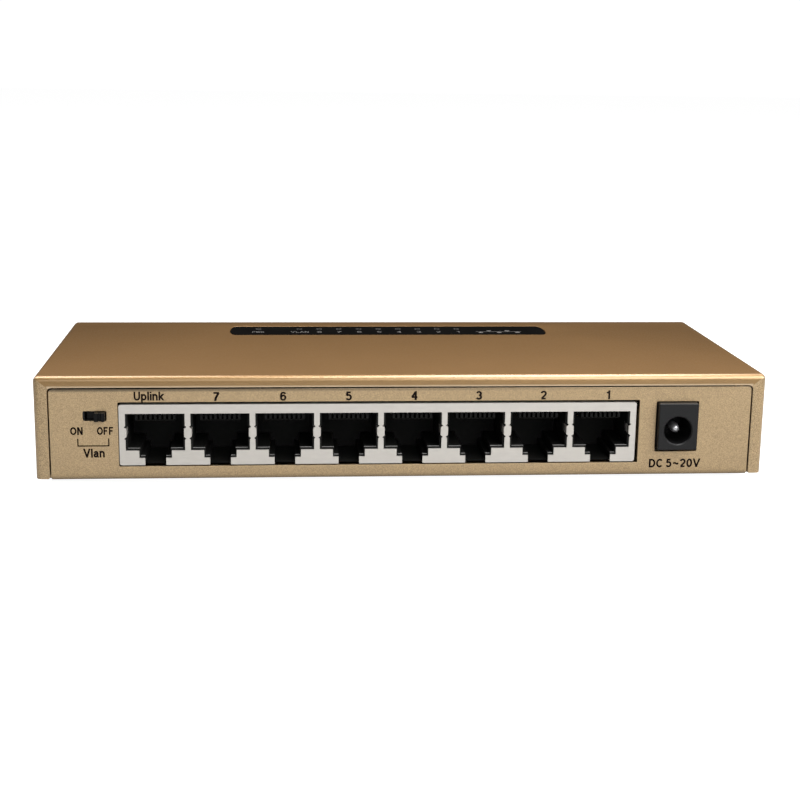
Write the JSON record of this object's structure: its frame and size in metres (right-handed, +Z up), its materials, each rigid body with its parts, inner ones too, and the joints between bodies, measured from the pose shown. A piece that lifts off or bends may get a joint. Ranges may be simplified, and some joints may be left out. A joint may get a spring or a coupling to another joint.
{
  "type": "desktop network switch",
  "caption": "Low rectangular steel box with a row of modular network sockets, a barrel power inlet and a small slide switch on one long side, and a lamp window in the top.",
  "frame": {"origin": "centre of the overall box's footprint, on the plane the feet stand on", "axes": "+X to the right along the port face, -Y out of the port face, +Z up"},
  "size_m": [0.163, 0.0696, 0.025],
  "materials": {
    "gold_paint": "fine metallic gold-brown paint, satin",
    "gloss_black": "polished",
    "black_moulding": "moulded, satin",
    "rubber": "matt",
    "steel": "zinc plated",
    "tinplate": "tin plated sheet",
    "contact_gold": "gold flashed spring wire",
    "board_green": "solder mask",
    "chip_black": "moulded epoxy",
    "ferrite": "pressed ferrite",
    "aluminium": "plain",
    "lamp_lens": "clear epoxy"
  },
  "bodies": {
    "chassis": {"base_tray": "gold_paint", "board_screw_1": "steel", "board_screw_2": "steel", "board_screw_3": "steel", "board_screw_4": "steel", "board_standoff_1": "steel", "board_standoff_2": "steel", "board_standoff_3": "steel", "board_standoff_4": "steel", "chip_heatsink": "aluminium", "circuit_board": "board_green", "contact_insert_1": "contact_gold", "contact_insert_2": "contact_gold", "contact_insert_3": "contact_gold", "contact_insert_4": "contact_gold", "contact_insert_5": "contact_gold", "contact_insert_6": "contact_gold", "contact_insert_7": "contact_gold", "contact_insert_8": "contact_gold", "cover_screw_1": "steel", "cover_screw_2": "steel", "cover_screw_3": "steel", "cover_screw_4": "steel", "crystal": "steel", "dc_jack_contact": "steel", "dc_jack_housing": "black_moulding", "dc_jack_pin": "steel", "flash_chip": "chip_black", "indicator_window": "gloss_black", "input_capacitor": "aluminium", "jack_housing": "black_moulding", "jack_shield": "tinplate", "led_1": "lamp_lens", "led_10": "lamp_lens", "led_2": "lamp_lens", "led_3": "lamp_lens", "led_4": "lamp_lens", "led_5": "lamp_lens", "led_6": "lamp_lens", "led_7": "lamp_lens", "led_8": "lamp_lens", "led_9": "lamp_lens", "light_guide": "black_moulding", "output_capacitor": "aluminium", "power_inductor": "ferrite", "rubber_foot_1": "rubber", "rubber_foot_2": "rubber", "rubber_foot_3": "rubber", "rubber_foot_4": "rubber", "switch_chip": "chip_black", "top_cover": "gold_paint", "transformer_1": "chip_black", "transformer_2": "chip_black", "transformer_3": "chip_black", "transformer_4": "chip_black", "vlan_switch_base": "black_moulding", "vlan_switch_frame": "steel"},
    "vlan_slider": {"vlan_slider": "black_moulding", "vlan_switch_contact": "contact_gold"}
  },
  "joints": [
    {"name": "vlan_slide", "type": "slide", "parent": "chassis", "child": "vlan_slider", "axis": [-1, 0, 0], "range_m": [0, 0.0022]}
  ]
}
